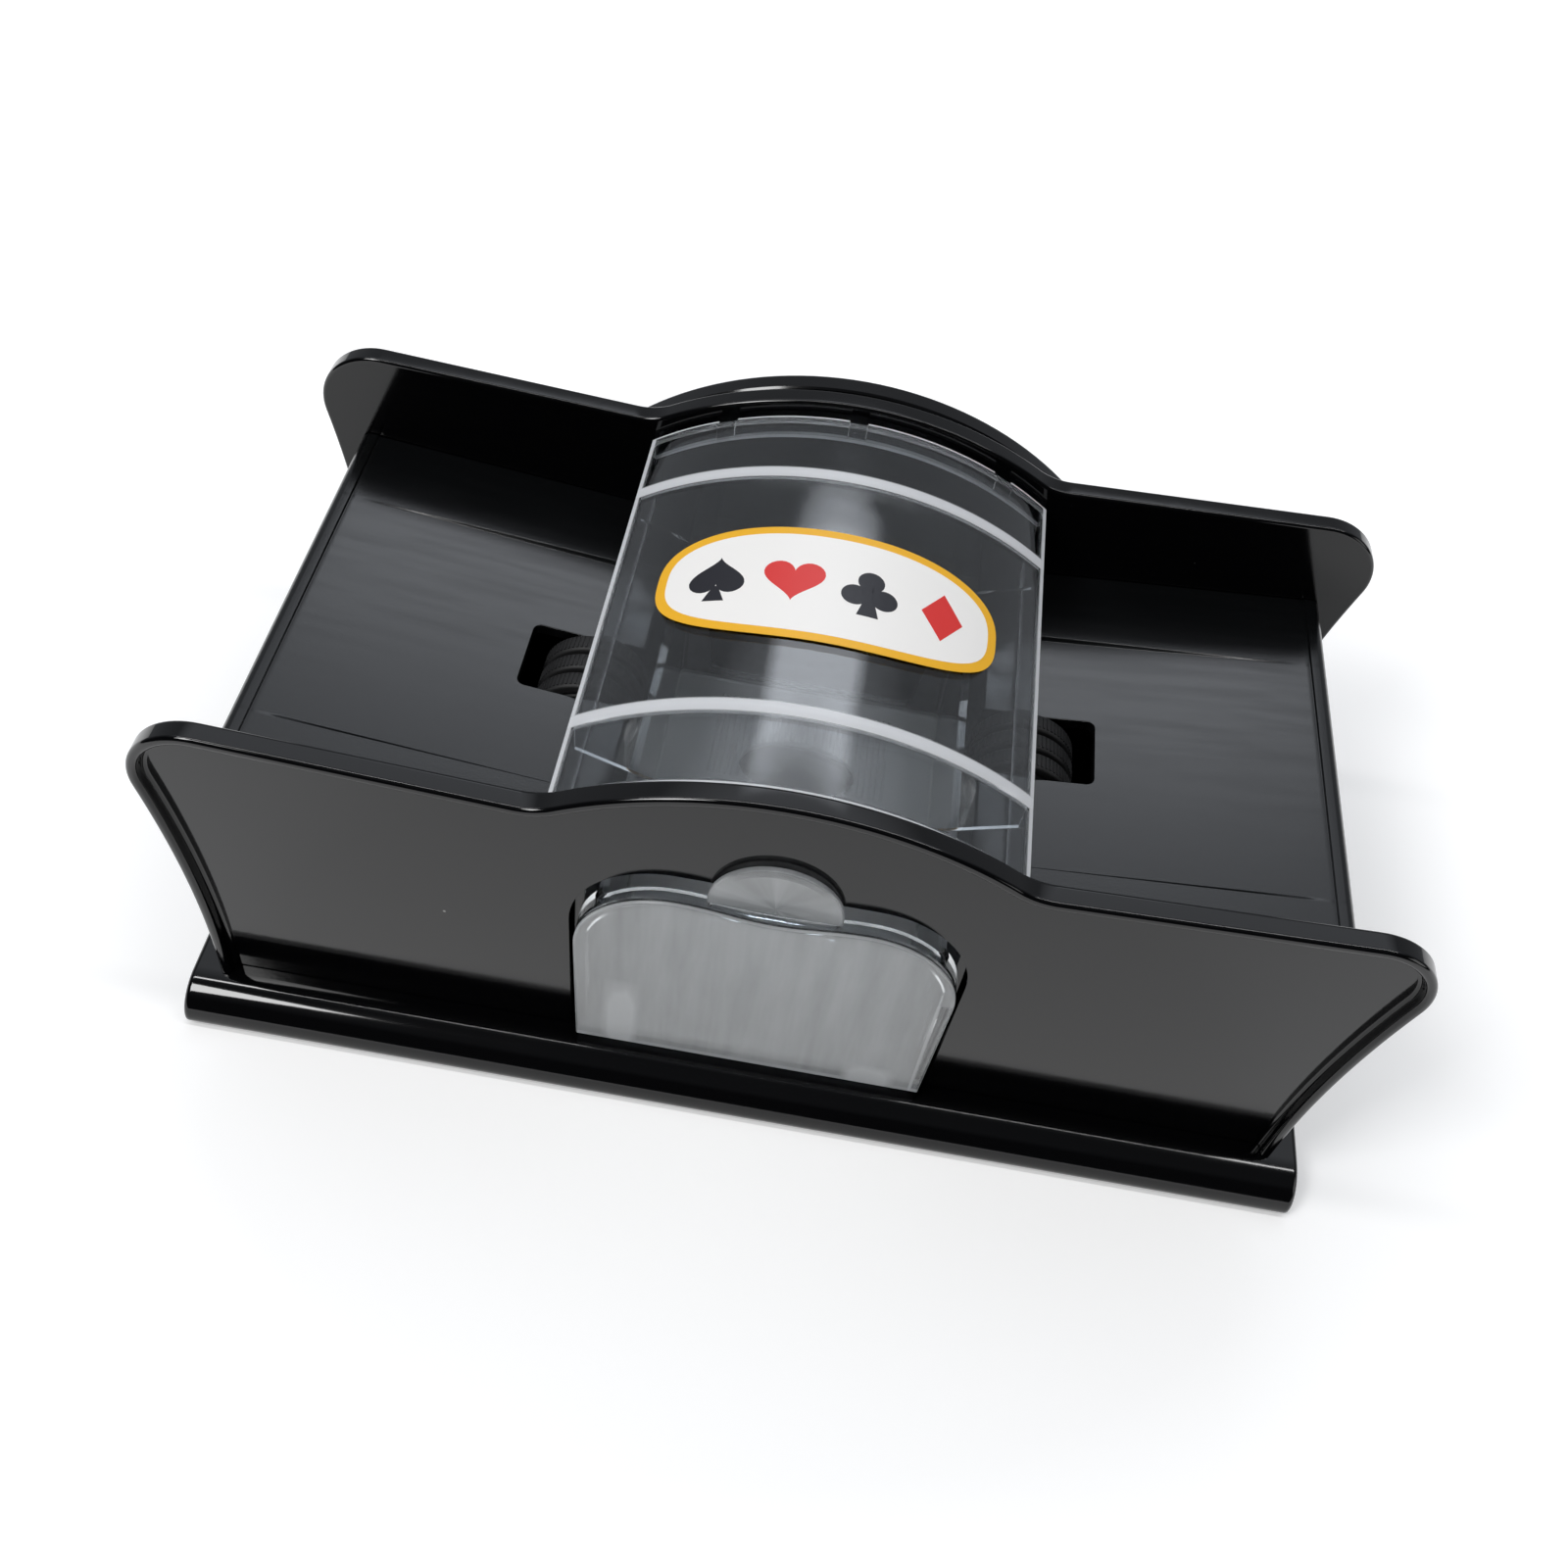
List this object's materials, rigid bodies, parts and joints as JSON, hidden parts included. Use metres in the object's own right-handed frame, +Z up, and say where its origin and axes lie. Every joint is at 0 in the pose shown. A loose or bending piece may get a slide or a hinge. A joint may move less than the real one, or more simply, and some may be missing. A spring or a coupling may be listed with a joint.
{
  "type": "automatic card shuffler",
  "caption": "Battery card shuffler: two sloping card trays with rubber rollers, a clear arched hood over the card well and a clear drawer at the front.",
  "frame": {"origin": "on the surface the feet stand on, at the middle of the base", "axes": "+X along the length, towards the right tray seen from the front; -Y towards the front, where the drawer opens; +Z up"},
  "size_m": [0.24, 0.1332, 0.0981],
  "materials": {
    "black_plastic": "moulded gloss black ABS",
    "clear_plastic": "clear moulded polystyrene",
    "printed_label": "printed and laminated",
    "black_rubber": "matt",
    "white_nylon": "moulded nylon",
    "bright_steel": "plated",
    "bronze": "sintered",
    "battery_wrap": "printed shrink wrap",
    "red_insulation": "PVC lead",
    "black_insulation": "PVC lead"
  },
  "bodies": {
    "housing": {"base_cover": "black_plastic", "chassis": "black_plastic", "front_plate": "black_plastic", "back_plate": "black_plastic", "gear_cover": "black_plastic", "battery_tray": "black_plastic", "motor_bracket": "black_plastic", "switch_body": "black_plastic", "motor_can": "bright_steel", "button_spring": "bright_steel", "contact_plate_front": "bright_steel", "contact_plate_rear": "bright_steel", "motor_lead": "red_insulation", "switch_lead": "black_insulation", "idler_pin_left": "bright_steel", "bush_front_left": "bronze", "bush_rear_left": "bronze", "idler_pin_right": "bright_steel", "bush_front_right": "bronze", "bush_rear_right": "bronze", "foot_1": "black_rubber", "base_screw_1": "bright_steel", "cover_screw_1": "bright_steel", "battery_1": "battery_wrap", "battery_spring_1": "bright_steel", "foot_2": "black_rubber", "base_screw_2": "bright_steel", "cover_screw_2": "bright_steel", "battery_2": "battery_wrap", "battery_spring_2": "bright_steel", "foot_3": "black_rubber", "base_screw_3": "bright_steel", "cover_screw_3": "bright_steel", "battery_3": "battery_wrap", "battery_spring_3": "bright_steel", "foot_4": "black_rubber", "base_screw_4": "bright_steel", "cover_screw_4": "bright_steel", "battery_4": "battery_wrap", "battery_spring_4": "bright_steel"},
    "drawer": {"card_drawer": "clear_plastic"},
    "hood": {"hood": "clear_plastic", "hood_label": "printed_label"},
    "button": {"power_button": "black_plastic"},
    "battery_door": {"battery_door": "black_plastic"},
    "pinion": {"motor_pinion": "white_nylon"},
    "roller_left": {"roller_shaft_left": "bright_steel", "roller_hub_left": "black_plastic", "roller_gear_left": "white_nylon", "roller_tyre_left_1": "black_rubber", "roller_tyre_left_2": "black_rubber", "roller_tyre_left_3": "black_rubber"},
    "idler_left": {"idler_gear_left": "white_nylon"},
    "roller_right": {"roller_shaft_right": "bright_steel", "roller_hub_right": "black_plastic", "roller_gear_right": "white_nylon", "roller_tyre_right_1": "black_rubber", "roller_tyre_right_2": "black_rubber", "roller_tyre_right_3": "black_rubber"},
    "idler_right": {"idler_gear_right": "white_nylon"}
  },
  "joints": [
    {"name": "drawer_slide", "type": "slide", "parent": "housing", "child": "drawer", "axis": [0, -1, 0], "range_m": [0, 0.09]},
    {"name": "hood_lift", "type": "slide", "parent": "housing", "child": "hood", "axis": [0, 0, 1], "range_m": [0, 0.06]},
    {"name": "power_button_press", "type": "slide", "parent": "housing", "child": "button", "axis": [-1, 0, 0], "range_m": [0, 0.0025], "stiffness_N_per_m": 300, "springref_m": -0.001},
    {"name": "battery_door_release", "type": "slide", "parent": "housing", "child": "battery_door", "axis": [0, 0, -1], "range_m": [0, 0.03]},
    {"name": "roller_left_spin", "type": "hinge", "parent": "housing", "child": "roller_left", "pos_m": [-0.0468, 0, 0.0515], "axis": [0, 1, 0], "continuous": true},
    {"name": "roller_right_spin", "type": "hinge", "parent": "housing", "child": "roller_right", "pos_m": [0.0468, 0, 0.0515], "axis": [0, 1, 0], "continuous": true},
    {"name": "idler_left_spin", "type": "hinge", "parent": "housing", "child": "idler_left", "pos_m": [-0.0156, 0.058, 0.0515], "axis": [0, 1, 0], "continuous": true},
    {"name": "idler_right_spin", "type": "hinge", "parent": "housing", "child": "idler_right", "pos_m": [0.0156, 0.058, 0.0515], "axis": [0, 1, 0], "continuous": true},
    {"name": "pinion_spin", "type": "hinge", "parent": "housing", "child": "pinion", "pos_m": [0.05808, 0.058, 0.03308], "axis": [0, 1, 0], "continuous": true}
  ],
  "couplings": [
    {"joint": "idler_left_spin", "follows": "roller_left_spin", "ratio": -1},
    {"joint": "idler_right_spin", "follows": "roller_left_spin", "ratio": 1},
    {"joint": "roller_right_spin", "follows": "roller_left_spin", "ratio": -1},
    {"joint": "pinion_spin", "follows": "roller_left_spin", "ratio": 2.6}
  ]
}
